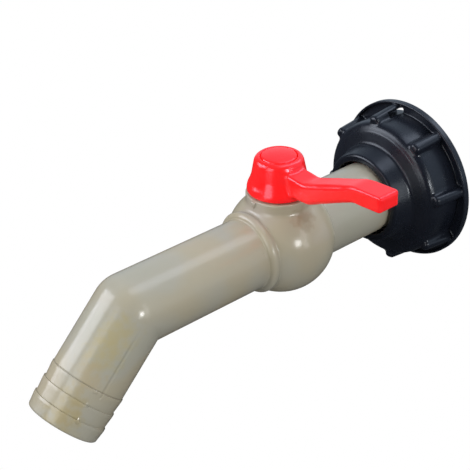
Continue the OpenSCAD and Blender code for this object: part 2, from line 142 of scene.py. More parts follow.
def make_lamps():
    cool_white = (0.97, 0.99, 1.08)
    cool = (0.93, 0.98, 1.14)
    make_lamp(
        "left", direction=(-0.635, 0.577, 0.465), along=(-0.36, -0.82, 0.36),
        width=0.8, height=0.56, glow=5.2, colour=cool_white,
    )
    make_lamp(
        "top", direction=(0.50, -0.12, 0.85), along=(1, 0, 0),
        width=1.4, height=0.40, glow=2.0, colour=cool,
    )
    over = make_lamp(
        "over", direction=(0, 0, 1), along=(1, 0, 0),
        width=1.4, height=1.4, glow=0.7,
    )
    over.visible_glossy = False
    make_lamp(
        "front", direction=(-0.05, -0.97, 0.23), along=(1, 0, 0),
        width=0.155, height=0.155, glow=40.0,
    )
    make_lamp(
        "right", direction=(0.24, -0.93, 0.28), along=(1, 0, 0),
        width=0.08, height=0.7, glow=6.0,
    )
    make_lamp(
        "side", direction=(-0.97, -0.14, 0.2), along=(0, 1, 0),
        width=0.45, height=0.9, glow=3.4,
    )


def make_world():
    """White for the camera, and a cool glow that grows along X for all other rays."""
    world = bpy.data.worlds.new("studio")
    bpy.context.scene.world = world
    world.use_nodes = True
    tree = world.node_tree
    direction = tree.nodes.new("ShaderNodeSeparateXYZ")
    tree.links.new(tree.nodes.new("ShaderNodeTexCoord").outputs["Generated"], direction.inputs[0])
    strength = tree.nodes.new("ShaderNodeMapRange")
    strength.interpolation_type = "SMOOTHSTEP"
    strength.inputs["From Min"].default_value = SKY_SPAN[0]
    strength.inputs["From Max"].default_value = SKY_SPAN[1]
    strength.inputs["To Min"].default_value = SKY_GLOW[0]
    strength.inputs["To Max"].default_value = SKY_GLOW[1]
    tree.links.new(direction.outputs["X"], strength.inputs["Value"])
    sky = tree.nodes["Background"]
    sky.inputs["Color"].default_value = SKY_COLOUR
    tree.links.new(strength.outputs[0], sky.inputs["Strength"])
    backdrop = tree.nodes.new("ShaderNodeBackground")
    backdrop.inputs["Color"].default_value = WHITE
    mix = tree.nodes.new("ShaderNodeMixShader")
    tree.links.new(tree.nodes.new("ShaderNodeLightPath").outputs["Is Camera Ray"], mix.inputs[0])
    tree.links.new(sky.outputs[0], mix.inputs[1])
    tree.links.new(backdrop.outputs[0], mix.inputs[2])
    tree.links.new(mix.outputs[0], tree.nodes["World Output"].inputs["Surface"])


def floor_material():
    """White glow for the camera, a cool glow in reflections, and grey for all other rays."""
    material = bpy.data.materials.new("floor")
    material.use_nodes = True
    tree = material.node_tree
    path = tree.nodes.new("ShaderNodeLightPath")
    shader = tree.nodes["Principled BSDF"]
    shader.inputs["Roughness"].default_value = FLOOR_ROUGHNESS
    shader.inputs["Specular IOR Level"].default_value = FLOOR_SPECULAR
    tone = tree.nodes.new("ShaderNodeMapRange")
    tone.inputs["To Min"].default_value = FLOOR_TONE[0]
    tone.inputs["To Max"].default_value = FLOOR_TONE[1]
    tree.links.new(path.outputs["Is Glossy Ray"], tone.inputs["Value"])
    tree.links.new(tone.outputs[0], shader.inputs["Base Color"])
    tint = tree.nodes.new("ShaderNodeMix")
    tint.data_type = "RGBA"
    cool, white = [socket for socket in tint.inputs if socket.type == "RGBA"]
    cool.default_value = FLOOR_COLOUR
    white.default_value = WHITE
    tree.links.new(path.outputs["Is Camera Ray"], tint.inputs["Factor"])
    glow = tree.nodes.new("ShaderNodeEmission")
    glow.inputs["Strength"].default_value = 1.0
    tinted = next(socket for socket in tint.outputs if socket.type == "RGBA")
    tree.links.new(tinted, glow.inputs["Color"])
    where = tree.nodes.new("ShaderNodeSeparateXYZ")
    tree.links.new(tree.nodes.new("ShaderNodeTexCoord").outputs["Object"], where.inputs[0])
    growth = tree.nodes.new("ShaderNodeMapRange")
    growth.interpolation_type = "SMOOTHSTEP"
    growth.inputs["From Min"].default_value = FLOOR_SPAN[0]
    growth.inputs["From Max"].default_value = FLOOR_SPAN[1]
    growth.inputs["To Max"].default_value = FLOOR_GLOW
    tree.links.new(where.outputs["X"], growth.inputs["Value"])
    shine = tree.nodes.new("ShaderNodeMath")
    shine.operation = "MULTIPLY"
    tree.links.new(path.outputs["Is Glossy Ray"], shine.inputs[0])
    tree.links.new(growth.outputs[0], shine.inputs[1])
    share = tree.nodes.new("ShaderNodeMath")
    share.operation = "MAXIMUM"
    tree.links.new(path.outputs["Is Camera Ray"], share.inputs[0])
    tree.links.new(shine.outputs[0], share.inputs[1])
    mix = tree.nodes.new("ShaderNodeMixShader")
    tree.links.new(share.outputs[0], mix.inputs[0])
    tree.links.new(shader.outputs[0], mix.inputs[1])
    tree.links.new(glow.outputs[0], mix.inputs[2])
    tree.links.new(mix.outputs[0], tree.nodes["Material Output"].inputs["Surface"])
    return material


def make_floor():
    mesh = bpy.data.meshes.new("floor")
    z = cad_low.z - FLOOR_GAP
    corners = [(x * FLOOR_HALF, y * FLOOR_HALF, z) for x, y in ((-1, -1), (1, -1), (1, 1), (-1, 1))]
    mesh.from_pydata(corners, [], [(0, 1, 2, 3)])
    floor = bpy.data.objects.new("floor", mesh)
    bpy.context.scene.collection.objects.link(floor)
    mesh.materials.append(floor_material())


# Spout of the tap: places on it are a distance past the bend and a turn from its upper line
BEND = place(-87, 0, 0)
SPOUT_AXIS = Vector((-1, 0, -1)).normalized()
SPOUT_UPPER = Vector((-1, 0, 1)).normalized()
SPOUT_R = 17


def spout_out(turn):
    """The direction out of the spout at a turn in degrees from its upper line to the near side."""
    angle = math.radians(turn)
    return SPOUT_UPPER * math.cos(angle) - Vector((0, 1, 0)) * math.sin(angle)


def on_spout(along, turn):
    """A point on the spout's surface, from its distance past the bend and its turn."""
    return BEND + SPOUT_AXIS * along * MM + spout_out(turn) * SPOUT_R * MM


# Parting line of the spout's mould, in metres: reach to each side, fades at near side and ends, depth
SEAM_TURN = 74
SEAM_OUT = spout_out(SEAM_TURN)
SEAM_REACH = 0.0009
SEAM_SIDE = (0.009, 0.012)
SEAM_START = (0.004, 0.014)
SEAM_END = (0.0365, 0.0375)
SEAM_DEPTH = 0.00028

# Line at the first tooth of the hose tail, in metres: a sunk groove, with painted shade in the crease
# of the tooth's step
RING_SPOT = 0.0345
RING_EDGES = (0.0001, 0.0004)
RING_DEPTH = 0.00012
RING_SHADE_SHARE = 0.3
RING_SHADE_COLOUR = (0.16, 0.14, 0.10)

# Small jogs of the ring lines beside the parting line: distances past the bend, turn, size and height
JOG_SPOTS = (35.4, 42.3, 49.6)
JOG_TURN = 62
JOG_SIZE = (0.0013, 0.0013, 0.0013)
JOG_HEIGHT = 0.0003

# Painted shadow of the lever on the housing, then stains along the spout: place, reach in metres on
# each axis, strength and colour
STAINS_AND_SHADE = [
    # Painted shadow: the lever's shade on the housing at the neck's foot, darker and warmer
    (place(-1.0, -17.4, 18.4), (0.007, 0.006, 0.006), 0.62, (0.27, 0.205, 0.115)),
    (on_spout(9, 48), (0.010, 0.010, 0.010), 0.8, (0.395, 0.340, 0.190)),
    (on_spout(20, 45), (0.010, 0.010, 0.010), 0.8, (0.395, 0.340, 0.190)),
    (on_spout(31, 42), (0.009, 0.009, 0.009), 0.7, (0.395, 0.325, 0.195)),
    (on_spout(43, 42), (0.007, 0.008, 0.007), 0.8, (0.375, 0.315, 0.175)),
    (on_spout(51, 42), (0.010, 0.011, 0.010), 0.85, (0.375, 0.310, 0.165)),
]
SPOT_CORE = 0.2
RAGGED_SCALE = 260
RAGGED_REACH = 0.35

# Surface of moulded plastic: scales of its noises, how its gloss varies and the height of its fine skin
GLOSS_SCALE = 120
GLOSS_SPREAD = (-0.03, 0.05)
RIPPLE_SCALE = 60
FINE_SCALE = 1500
FINE_SHARE = 0.006


class Finish:
    """A material made of nodes, with a few shorthand calls to add to it."""

    def __init__(self, name, roughness, metallic=0.0):
        self.material = bpy.data.materials.new(name)
        self.material.use_nodes = True
        self.tree = self.material.node_tree
        self.shader = self.tree.nodes["Principled BSDF"]
        self.shader.inputs["Roughness"].default_value = roughness
        self.shader.inputs["Metallic"].default_value = metallic
        self.where = self.tree.nodes.new("ShaderNodeTexCoord").outputs["Object"]
        self.heights = []

    def link(self, a, b):
        self.tree.links.new(a, b)

    def stretched(self, scale):
        """The object's coordinates, stretched by a factor on each axis."""
        node = self.tree.nodes.new("ShaderNodeMapping")
        node.inputs["Scale"].default_value = scale
        self.link(self.where, node.inputs["Vector"])
        return node.outputs["Vector"]

    def noise(self, scale, detail, where=None):
        """Soft noise from 0 to 1, over the object's coordinates unless others are given."""
        node = self.tree.nodes.new("ShaderNodeTexNoise")
        node.inputs["Scale"].default_value = scale
        node.inputs["Detail"].default_value = detail
        self.link(where or self.where, node.inputs["Vector"])
        return node.outputs["Fac"]

    def range(self, value, low, high, from_low=0.3, from_high=0.7):
        """A value between two others, as the given one goes from its low to its high."""
        node = self.tree.nodes.new("ShaderNodeMapRange")
        node.inputs["From Min"].default_value = from_low
        node.inputs["From Max"].default_value = from_high
        node.inputs["To Min"].default_value = low
        node.inputs["To Max"].default_value = high
        self.link(value, node.inputs["Value"])
        return node.outputs["Result"]

    def ramp(self, value, stops):
        """The colour at a value, between stops that pair a value with a colour."""
        node = self.tree.nodes.new("ShaderNodeValToRGB")
        elements = node.color_ramp.elements
        while len(elements) < len(stops):
            elements.new(0.5)
        for element, (spot, colour) in zip(elements, stops):
            element.position = spot
            element.color = (*colour, 1)
        self.link(value, node.inputs["Fac"])
        return node.outputs["Color"]

    def mix(self, share, under, over):
        """A share of a plain colour over another node's colour."""
        node = self.tree.nodes.new("ShaderNodeMix")
        node.data_type = "RGBA"
        below, above = [socket for socket in node.inputs if socket.type == "RGBA"]
        self.link(under, below)
        above.default_value = (*over, 1)
        self.link(share, node.inputs["Factor"])
        return next(socket for socket in node.outputs if socket.type == "RGBA")

    def vector_math(self, operation, source, value):
        """The node of a vector sum of another node's output and a constant."""
        node = self.tree.nodes.new("ShaderNodeVectorMath")
        node.operation = operation
        node.inputs[1].default_value = value
        self.link(source, node.inputs[0])
        return node

    def combine(self, operation, *sources):
        """A sum of plain values from other nodes."""
        node = self.tree.nodes.new("ShaderNodeMath")
        node.operation = operation
        for source, socket in zip(sources, node.inputs):
            self.link(source, socket)
        return node.outputs[0]

    def distance(self, spot, direction):
        """How far the surface lies from a spot along a direction, in metres."""
        near = self.vector_math("SUBTRACT", self.where, spot)
        return self.vector_math("DOT_PRODUCT", near.outputs[0], direction).outputs["Value"]

    def ring_line(self):
        """The line round the spout where its first tooth begins."""
        off = self.combine("ABSOLUTE", self.distance(BEND + SPOUT_AXIS * RING_SPOT, SPOUT_AXIS))
        return self.range(off, 1.0, 0.0, *RING_EDGES)

    def seam(self):
        """The line along the spout's near side, where the halves of its mould met."""
        off = self.combine("ABSOLUTE", self.distance(BEND, SPOUT_AXIS.cross(SEAM_OUT)))
        line = self.range(off, 1.0, 0.0, 0.0, SEAM_REACH)
        near_side = self.range(self.distance(BEND, SEAM_OUT), 0.0, 1.0, *SEAM_SIDE)
        along = self.distance(BEND, SPOUT_AXIS)
        start = self.range(along, 0.0, 1.0, *SEAM_START)
        end = self.range(along, 1.0, 0.0, *SEAM_END)
        ends = self.combine("MULTIPLY", start, end)
        return self.combine("MULTIPLY", line, self.combine("MULTIPLY", near_side, ends))

    def spot(self, centre, size, share):
        """A share at a place in the row frame, falling to nothing at a size in metres on each axis."""
        near = self.vector_math("SUBTRACT", self.where, centre)
        scaled = self.vector_math("DIVIDE", near.outputs[0], size)
        length = self.tree.nodes.new("ShaderNodeVectorMath")
        length.operation = "LENGTH"
        self.link(scaled.outputs[0], length.inputs[0])
        wobble = self.range(self.noise(RAGGED_SCALE, detail=3.0), -RAGGED_REACH, RAGGED_REACH)
        ragged = self.combine("ADD", length.outputs["Value"], wobble)
        return self.range(ragged, share, 0.0, SPOT_CORE, 1.0)

    def colour(self, source):
        self.link(source, self.shader.inputs["Base Color"])

    def roughness(self, source):
        self.link(source, self.shader.inputs["Roughness"])

    def bump(self, value, distance, sunk=False):
        """Adds a height in metres to the surface, or takes it off where sunk."""
        node = self.tree.nodes.new("ShaderNodeBump")
        node.invert = sunk
        node.inputs["Strength"].default_value = 1.0
        node.inputs["Distance"].default_value = distance
        self.link(value, node.inputs["Height"])
        if self.heights:
            self.link(self.heights[-1].outputs["Normal"], node.inputs["Normal"])
        self.heights.append(node)
        self.link(node.outputs["Normal"], self.shader.inputs["Normal"])


def moulded(name, stops, roughness, ripple, mottle=60, specular=0.5, tint=WHITE):
    """Glossy moulded plastic: mottled colour, uneven gloss, a faint ripple and a fine skin."""
    finish = Finish(name, roughness)
    finish.shader.inputs["Specular IOR Level"].default_value = specular
    finish.shader.inputs["Specular Tint"].default_value = tint
    finish.tone = finish.ramp(finish.noise(mottle, detail=1.5), stops)
    finish.colour(finish.tone)
    low, high = [roughness + change for change in GLOSS_SPREAD]
    finish.roughness(finish.range(finish.noise(GLOSS_SCALE, detail=2.0), low, high))
    finish.bump(finish.noise(RIPPLE_SCALE, detail=1.0), ripple)
    finish.bump(finish.noise(FINE_SCALE, detail=0.0), ripple * FINE_SHARE)
    return finish


def tap_plastic():
    """Beige plastic, with stains along the spout, a painted shadow under the lever, the parting line,
    and the ring line with painted shade in its crease.
    """
    stops = [
        (0.30, (0.362, 0.348, 0.272)), (0.44, (0.380, 0.357, 0.282)), (0.54, (0.394, 0.352, 0.252)),
        (0.62, (0.402, 0.352, 0.248)), (0.74, (0.412, 0.362, 0.290)),
    ]
    tap = moulded("tap_plastic", stops, roughness=0.21, ripple=0.00010, mottle=30)
    tone = tap.tone
    # Stains along the spout, and the painted shadow under the lever's root
    for centre, size, share, colour in STAINS_AND_SHADE:
        tone = tap.mix(tap.spot(centre, size, share), tone, colour)
    ring = tap.ring_line()
    # Painted shade along the ring line, in the crease where the first tooth steps out
    tone = tap.mix(tap.range(ring, 0.0, RING_SHADE_SHARE, 0.0, 1.0), tone, RING_SHADE_COLOUR)
    tap.colour(tone)
    tap.bump(tap.seam(), SEAM_DEPTH, sunk=True)
    tap.bump(ring, RING_DEPTH, sunk=True)
    for along in JOG_SPOTS:
        tap.bump(tap.spot(on_spout(along, JOG_TURN), JOG_SIZE, 1.0), JOG_HEIGHT)
    return tap.material


def handle_plastic():
    """Red plastic, with a painted glow of its own that brightens the red."""
    stops = [(0.3, (0.97, 0.010, 0.010)), (0.7, (1.0, 0.016, 0.016))]
    handle = moulded(
        "handle_plastic", stops, roughness=0.2, ripple=0.00005, specular=0.65, tint=(0.70, 0.76, 1.0, 1)
    )
    # Painted glow: the red gives off a little light of its own, lifting it past what the lamps give
    handle.shader.inputs["Emission Color"].default_value = (1.0, 0.01, 0.01, 1)
    handle.shader.inputs["Emission Strength"].default_value = 0.13
    return handle.material


def nut_plastic():
    stops = [(0.3, (0.0070, 0.0088, 0.0140)), (0.7, (0.0100, 0.0122, 0.0188))]
    nut = moulded(
        "nut_plastic", stops, roughness=0.27, ripple=0.00005, specular=0.42, tint=(0.88, 0.94, 1.0, 1)
    )
    return nut.material


def ball_plastic():
    stops = [(0.3, (0.74, 0.74, 0.70)), (0.7, (0.80, 0.80, 0.76))]
    return moulded("ball_plastic", stops, roughness=0.16, ripple=0.00002).material


def seat_plastic():
    stops = [(0.3, (0.80, 0.80, 0.77)), (0.7, (0.86, 0.86, 0.83))]
    return moulded("seat_plastic", stops, roughness=0.45, ripple=0.00002).material


def rubber():
    stops = [(0.3, (0.018, 0.018, 0.018)), (0.7, (0.030, 0.030, 0.030))]
    return moulded("rubber", stops, roughness=0.62, ripple=0.00003).material


def turned_steel():
    """Steel with fine rings left by the lathe, round the upright axis."""
    steel = Finish("steel", roughness=0.3, metallic=1.0)
    layers = steel.stretched((0.15, 0.15, 4.0))
    rings = steel.noise(900, detail=2.0, where=layers)
    steel.colour(steel.ramp(rings, [(0.3, (0.50, 0.51, 0.52)), (0.7, (0.66, 0.67, 0.68))]))
    steel.roughness(steel.range(rings, low=0.24, high=0.36))
    steel.bump(rings, distance=0.00001)
    return steel.material


def make_materials():
    return {
        "tap": tap_plastic(), "handle": handle_plastic(), "nut": nut_plastic(), "ball": ball_plastic(),
        "seat": seat_plastic(), "rubber": rubber(), "steel": turned_steel(),
    }


def set_material(obj, material):
    obj.data.materials.clear()
    obj.data.materials.append(material)


# Sampling of curves and fields in millimetres, and how skin points settle on the surface
CURVE_STEP = 0.25
SLOPE_REACH = 0.02
SETTLE_ROUNDS = 3
LONGEST_MOVE = 0.25
LEAST_RATE = 0.1
SMALL = 1e-9


def blend_min(a, b, width):
    """The lower of two distances, rounded where they cross."""
    share = np.clip(0.5 + 0.5 * (b - a) / width, 0, 1)
    return b + (a - b) * share - width * share * (1 - share)


def blend_max(a, b, width):
    """The higher of two distances, rounded where they cross."""
    return -blend_min(-a, -b, width)


def smooth_curve(stations, reach):
    """Samples a bent line and rounds its bends over a reach on both sides."""
    stations = np.array(stations, float)
    start = stations[0, 0]
    stop = stations[-1, 0]
    spots = np.arange(start - reach, stop + reach + CURVE_STEP, CURVE_STEP)
    heights = np.interp(spots, stations[:, 0], stations[:, 1])
    width = 2 * round(reach / CURVE_STEP) + 1
    window = np.hanning(width + 2)[1:-1]
    padded = np.pad(heights, width // 2, mode="edge")
    return spots, np.convolve(padded, window / window.sum(), mode="valid")


def box_distance(points, low, high):
    """Distance to a box between two corners, negative inside."""
    low = np.array(low, float)
    high = np.array(high, float)
    gap = np.abs(points - (low + high) / 2) - (high - low) / 2
    outside = np.linalg.norm(np.maximum(gap, 0), axis=1)
    return outside + np.minimum(gap.max(1), 0)


def surface_slope(field, points):
    """Direction and rate of the field's steepest rise."""
    sides = []
    for axis in np.eye(3):
        change = field(points + SLOPE_REACH * axis) - field(points - SLOPE_REACH * axis)
        sides.append(change / (2 * SLOPE_REACH))
    return np.stack(sides, 1)


def corner_values(value, cells, corner):
    """The field's value at one corner of each cell."""
    spots = cells + corner
    return value[spots[:, 0], spots[:, 1], spots[:, 2]]


def skin_points(value, cells):
    """One point in each cell that the surface crosses, at the mean of its edges' crossings."""
    total = np.zeros(cells.shape)
    hits = np.zeros(len(cells))
    for axis in range(3):
        along = np.eye(3, dtype=int)[axis]
        others = [np.eye(3, dtype=int)[i] for i in range(3) if i != axis]
        for i in (0, 1):
            for j in (0, 1):
                corner = i * others[0] + j * others[1]
                a = corner_values(value, cells, corner)
                b = corner_values(value, cells, corner + along)
                crossed = (a < 0) != (b < 0)
                share = np.where(crossed, a / np.where(crossed, a - b, 1), 0)
                total[crossed] += (corner + share[:, None] * along)[crossed]
                hits[crossed] += 1
    return cells + total / hits[:, None]


def skin_quads(inside, order, wrapped):
    """A quad round each grid edge that the surface crosses, facing out."""
    quads = []
    for axis in range(3):
        along, first, second = np.roll(np.eye(3, dtype=int), -axis, axis=0)
        low = [slice(None)] * 3
        high = [slice(None)] * 3
        low[axis] = slice(0, -1)
        high[axis] = slice(1, None)
        spots = np.argwhere(inside[tuple(low)] != inside[tuple(high)])
        free = np.ones(len(spots), bool)
        for side in ((axis + 1) % 3, (axis + 2) % 3):
            free &= spots[:, side] < inside.shape[side] - 1
            if side != wrapped:
                free &= spots[:, side] > 0
        spots = spots[free]
        ring = []
        for offset in (-first - second, -second, 0 * first, -first):
            cell = spots + offset
            ring.append(order[cell[:, 0], cell[:, 1], cell[:, 2]])
        ring = np.stack(ring, 1)
        leaving = inside[spots[:, 0], spots[:, 1], spots[:, 2]]
        ring[~leaving] = ring[~leaving, ::-1]
        quads.append(ring)
    return np.concatenate(quads)


def in_space(points):
    """Places that are given as X, Y and Z already."""
    return points


def about_tube(points):
    """Places given as distance along the tube, angle above the near side and radius."""
    along, angle, r = points.transpose()
    return np.stack((along, -r * np.cos(angle), r * np.sin(angle)), 1)


def skin_of(field, low, high, steps, to_space=in_space, wrapped=None):
    """Points, quads and outward directions of the surface where a field crosses zero.

    The grid runs from low to high and may be bent to space. Its wrapped axis, if any, closes on itself.
    """
    low = np.array(low, float)
    steps = np.array(steps, float)
    axes = [a + step * np.arange(round((b - a) / step) + 1) for a, b, step in zip(low, high, steps)]
    grid = np.stack(np.meshgrid(*axes, indexing="ij"), -1)
    value = field(to_space(grid.reshape(-1, 3))).reshape(grid.shape[:3])
    if wrapped is not None:
        value[:, -1] = value[:, 0]
    inside = value < 0
    count = np.zeros([n - 1 for n in inside.shape], int)
    for i in (0, 1):
        for j in (0, 1):
            for k in (0, 1):
                count += inside[i:i + count.shape[0], j:j + count.shape[1], k:k + count.shape[2]]
    active = (count > 0) & (count < 8)
    order = np.full(active.shape, -1)
    order[active] = np.arange(active.sum())
    points = to_space(low + steps * skin_points(value, np.argwhere(active)))
    for _ in range(SETTLE_ROUNDS):
        slope = surface_slope(field, points)
        rate = np.maximum((slope ** 2).sum(1), LEAST_RATE)
        move = -field(points)[:, None] * slope / rate[:, None]
        size = np.linalg.norm(move, axis=1)
        points = points + move * np.minimum(1, LONGEST_MOVE / np.maximum(size, SMALL))[:, None]
    slope = surface_slope(field, points)
    return points, skin_quads(inside, order, wrapped), slope / np.linalg.norm(slope, axis=1)[:, None]


def add_skin(name, skin, material):
    """Adds a skin given in millimetres from the ball's centre."""
    points, quads, directions = skin
    mesh = bpy.data.meshes.new(name)
    mesh.from_pydata(((points + (BALL_X, 0, 0)) * MM).tolist(), [], quads.tolist())
    mesh.polygons.foreach_set("use_smooth", np.ones(len(quads), bool))
    mesh.normals_split_custom_set_from_vertices(directions.tolist())
    mesh.materials.append(material)
    obj = bpy.data.objects.new(name, mesh)
    bpy.context.scene.collection.objects.link(obj)
    return obj


def rounded_box(gaps, edge):
    """Distance to a box with rounded edges, from the signed gaps to its faces."""
    gaps = [gap + edge for gap in gaps]
    outside = np.sqrt(sum(np.maximum(gap, 0) ** 2 for gap in gaps))
    return outside + np.minimum(np.max(gaps, axis=0), 0) - edge


# Valve body, in millimetres from the ball's centre
HOUSING_R = 25.45
BEAD_SPOT = (-19.0, 17.2)
BEAD_R = 2.5
BEAD_FILLET = 1.0
PIPE_R = 17.02
PIPE_LAP = (-23.6, -15.0)
PIPE_FILLET = 0.7
BODY_BORE = 17.5
BODY_BORE_START = -19.4
LAP_BORE = 15.4
NECK_R = 15.6
NECK_TOP = 25.7
NECK_EDGE = 1.0
NECK_FILLET = 1.4
MARK_HALF_W = 1.7
MARK_LOW = 21.6
MARK_HIGH = 25.2
MARK_OUT = 0.8
MARK_EDGE = 0.2
MARK_FILLET = 0.3
SLEEVE_R = 9.0
SLEEVE_TOP = 33.5
STOP_LOW = (-12, -1.5, 24.7)
STOP_HIGH = (-8, 1.5, 28.7)
POCKET_R = 8.3
POCKET_TOP = 20.7
STEM_BORE = 6.05
BODY_GRID = ((-24.4, -26.3, -26.3), (26.6, 26.7, 34.6))
BODY_STEPS = (0.5, 0.5, 0.5)


def body_field(points):
    """Distance to housing, bead, pipe, neck, mark, sleeve and stop, less the bores."""
    along, y, z = points.transpose()
    about_x = np.hypot(y, z)
    about_z = np.hypot(along, y)
    bead = np.hypot(along - BEAD_SPOT[0], np.maximum(about_x - BEAD_SPOT[1], 0)) - BEAD_R
    pipe = np.maximum(about_x - PIPE_R, np.maximum(PIPE_LAP[0] - along, along - PIPE_LAP[1]))
    solid = blend_min(np.linalg.norm(points, axis=1) - HOUSING_R, bead, BEAD_FILLET)
    solid = blend_min(solid, pipe, PIPE_FILLET)
    neck = blend_max(about_z - NECK_R, z - NECK_TOP, NECK_EDGE)
    solid = blend_min(solid, np.maximum(neck, -z), NECK_FILLET)
    half = MARK_HALF_W * (z - MARK_LOW) / (MARK_HIGH - MARK_LOW)
    mark = (np.abs(y) - half, z - MARK_HIGH, MARK_LOW - z, about_z - NECK_R - MARK_OUT)
    solid = blend_min(solid, np.maximum(rounded_box(mark, MARK_EDGE), along), MARK_FILLET)
    sleeve = np.maximum(about_z - SLEEVE_R, np.maximum(z - SLEEVE_TOP, -z))
    solid = np.minimum(solid, sleeve)
    solid = np.minimum(solid, box_distance(points, STOP_LOW, STOP_HIGH))
    bore = np.maximum(about_x - BODY_BORE, BODY_BORE_START - along)
    pocket = np.maximum(about_z - POCKET_R, np.maximum(z - POCKET_TOP, -z))
    stem_bore = np.maximum(about_z - STEM_BORE, -z)
    for hole in (bore, about_x - LAP_BORE, pocket, stem_bore):
        solid = np.maximum(solid, -hole)
    return solid


def add_body(material):
    skin = skin_of(body_field, *BODY_GRID, BODY_STEPS)
    obj = add_skin("body_skin", skin, material)
    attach(obj, "casing")
    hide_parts("valve_body")


# Handle, in millimetres from the ball's centre, with its lever towards -Y
HUB_LOW = 26.2
HUB_HIGH = 43.2
HUB_OUTLINE = [
    (26.2, 15.0), (28.0, 15.0), (29.6, 14.6), (31.6, 13.6),
    (34.2, 12.7), (38.2, 11.95), (41.0, 11.4), (43.2, 10.9),
]
HUB_BEND = 0.8
HUB_SLANT = 0.95
HUB_FOOT_EDGE = 1.2
HUB_TOP_EDGE = 2.6
SLEEVE_ROOM_R = 9.4
SLEEVE_ROOM_TOP = 33.8
SCREW_WELL_R = 7.1
SCREW_WELL_LOW = 37.9
SQUARE_LOW = (-4.1, -4.1, 33)
SQUARE_HIGH = (4.1, 4.1, 39)
CAP_R = 8.3
CAP_LOW = 41.9
CAP_GAP = 0.2
CAP_RECESS_EDGE = 0.7
LEVER_HALF_W = 5.7
LEVER_REACH = 68.5
LEVER_TOP = [(0, 39.4), (10, 39.2), (21, 38.3), (33, 43.1), (51, 49.5), (68.5, 50.7)]
LEVER_UNDER = [(0, 28.9), (24.3, 28.9), (52.3, 41.9), (68.5, 43.1)]
LEVER_TOP_BEND = 4.0
LEVER_UNDER_BEND = 3.0
LEVER_EDGES = [(18, 1.6), (30, 2.6), (45, 2.4), (56, 1.1)]
LEVER_END_EDGE = 2.2
LEVER_FILLET = 2.0
HANDLE_GRID = ((-16.2, -69.4, 25.2), (16.3, 16.6, 52.2))
HANDLE_STEPS = (0.5, 0.5, 0.5)


def handle_field():
    """Makes the field of the hub with its lever, less the room for sleeve, screw, stem and cap."""
    top = smooth_curve(LEVER_TOP, LEVER_TOP_BEND)
    under = smooth_curve(LEVER_UNDER, LEVER_UNDER_BEND)
    outline = smooth_curve(HUB_OUTLINE, HUB_BEND)
    middle_slope = np.gradient((top[1] + np.interp(top[0], *under)) / 2, top[0])
    edges = np.array(LEVER_EDGES).transpose()

    def lever(points):
        """Distance to the lever, its thickness taken square to the line between top and underside."""
        reach = -points[:, 1]
        high = np.interp(reach, *top)
        low = np.interp(reach, *under)
        lean = np.interp(reach, top[0], middle_slope)
        upright = 1 / np.sqrt(1 + lean ** 2)
        middle = (high + low) / 2
        half = (high - low) / 2 * upright
        edge = np.interp(reach, *edges)
        side = np.abs(points[:, 0]) - LEVER_HALF_W + edge
        rise = np.abs((points[:, 2] - middle) * upright) - half + edge
        outside = np.hypot(np.maximum(side, 0), np.maximum(rise, 0))
        body = outside + np.minimum(np.maximum(side, rise), 0) - edge
        body = blend_max(body, reach - LEVER_REACH, LEVER_END_EDGE)
        return np.maximum(body, -reach)

    def field(points):
        r = np.hypot(points[:, 0], points[:, 1])
        z = points[:, 2]
        hub = (r - np.interp(z, *outline)) * HUB_SLANT
        hub = blend_max(hub, z - HUB_HIGH, HUB_TOP_EDGE)
        solid = blend_min(hub, lever(points), LEVER_FILLET)
        solid = blend_max(solid, HUB_LOW - z, HUB_FOOT_EDGE)
        sleeve_room = np.maximum(r - SLEEVE_ROOM_R, z - SLEEVE_ROOM_TOP)
        screw_well = np.maximum(r - SCREW_WELL_R, SCREW_WELL_LOW - z)
        square = box_distance(points, SQUARE_LOW, SQUARE_HIGH)
        for hole in (sleeve_room, screw_well, square):
            solid = np.maximum(solid, -hole)
        recess = np.maximum(r - CAP_R - CAP_GAP, CAP_LOW - z)
        return blend_max(solid, -recess, CAP_RECESS_EDGE)

    return field


def add_handle(material):
    skin = skin_of(handle_field(), *HANDLE_GRID, HANDLE_STEPS)
    obj = add_skin("handle_skin", skin, material)
    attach(obj, "rotor")
    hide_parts("handle")


# Handle cap: a disc with a crown, and a skirt under it
CAP_CROWN = 1.0
CAP_DOME_R = (CAP_R ** 2 + CAP_CROWN ** 2) / (2 * CAP_CROWN)
CAP_TOP = 44.3
CAP_EDGE = 1.0
CAP_FOOT_EDGE = 0.4
SKIRT_R = 6.55
SKIRT_HALF_T = 0.5
SKIRT_MIDDLE = 41.2
SKIRT_HALF_H = 1.2
CAP_GRID = ((-9.2, -9.2, 39.2), (9.2, 9.2, 45.2))
CAP_STEPS = (0.4, 0.4, 0.4)


def cap_field(points):
    """Distance to the cap's disc with its skirt."""
    r = np.hypot(points[:, 0], points[:, 1])
    z = points[:, 2]
    crown = np.hypot(r, z - (CAP_TOP - CAP_DOME_R)) - CAP_DOME_R
    disc = blend_max(blend_max(r - CAP_R, crown, CAP_EDGE), CAP_LOW - z, CAP_FOOT_EDGE)
    skirt = np.maximum(np.abs(r - SKIRT_R) - SKIRT_HALF_T, np.abs(z - SKIRT_MIDDLE) - SKIRT_HALF_H)
    return np.minimum(disc, skirt)


def add_cap(material):
    skin = skin_of(cap_field, *CAP_GRID, CAP_STEPS)
    obj = add_skin("cap_skin", skin, material)
    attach(obj, "rotor")
    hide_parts("handle_cap")


# Coupling nut, as distances along the tube from the ball's centre and radii
NUT_FRONT = 53.5
NUT_END = 88.4
NUT_END_EDGE = 1.4
FRONT_R = 22.4
FRONT_EDGE = 1.6
COLLAR_LEAN = 0.244
COLLAR_FILLET = 1.3
WEB_IN = 67.5
WEB_FOOT = (63.5, 25.8)
WEB_LEAN = 0.314
SHOULDER = (65.7, 32.9)
SHOULDER_LEAN = 0.85
SHOULDER_EDGE = 1.4
WALL_R = 34.8
WALL_EDGE = 2.6
HOLE_R = 19.1
HOLE_LAP = 1.0
RELIEF_R = 31.0
HOLLOW_EDGE = 0.5
